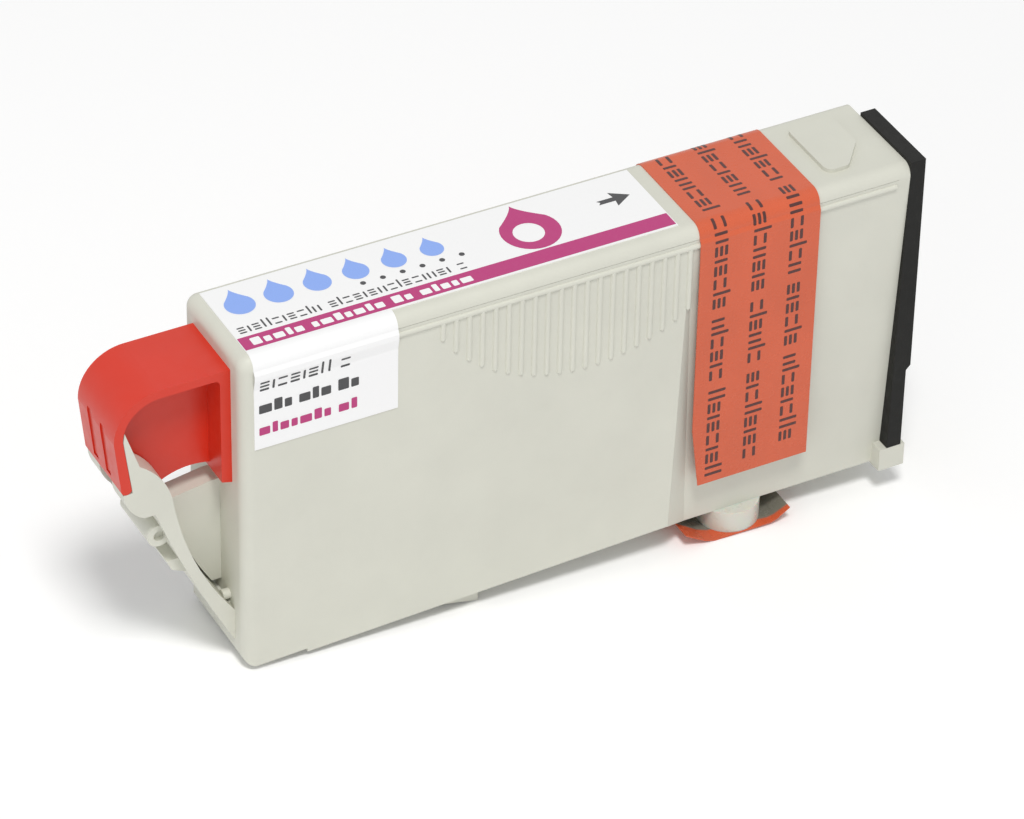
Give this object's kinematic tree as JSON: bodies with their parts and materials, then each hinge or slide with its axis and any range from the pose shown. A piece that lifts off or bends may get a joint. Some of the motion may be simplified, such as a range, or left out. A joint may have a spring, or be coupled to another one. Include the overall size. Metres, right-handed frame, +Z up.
{
  "type": "inkjet ink cartridge",
  "caption": "Narrow upright ink tank with a latch arm under a hooked handle, side grip ribs, a contact plate at the rear and a taped outlet below.",
  "frame": {"origin": "bottom centre of the box that holds the whole cartridge, tape included", "axes": "+X from the latch handle to the rear plate, +Y to the far side, away from the cover with the label's flap, +Z up"},
  "size_m": [0.0882, 0.014, 0.041],
  "materials": {
    "shell_plastic": "fine matt moulded",
    "cover_plastic": "fine matt moulded",
    "handle_plastic": "satin moulded",
    "plate_plastic": "matt",
    "board_resin": "lacquered board",
    "pad_metal": "gold plated",
    "potting_resin": "glossy",
    "sponge_foam": "open foam soaked with ink",
    "wick_felt": "dense felt",
    "screen_mesh": "fine mesh",
    "collar_plastic": "milky translucent",
    "seal_rubber": "soft",
    "membrane_film": "matt film",
    "plug_rubber": "matt",
    "label_paper": "coated paper, printed",
    "tape_film": "satin film, printed"
  },
  "bodies": {
    "root": {"body_shell": "shell_plastic", "side_cover": "cover_plastic", "handle": "handle_plastic", "rear_plate": "plate_plastic", "chip_board": "board_resin", "contact_pads": "pad_metal", "memory_chip": "potting_resin", "sponge": "sponge_foam", "wick": "wick_felt", "filter_screen": "screen_mesh", "outlet_collar": "collar_plastic", "outlet_seal": "seal_rubber", "vent_membrane": "membrane_film", "fill_plug": "plug_rubber", "label": "label_paper", "pull_tape": "tape_film"}
  },
  "joints": []
}
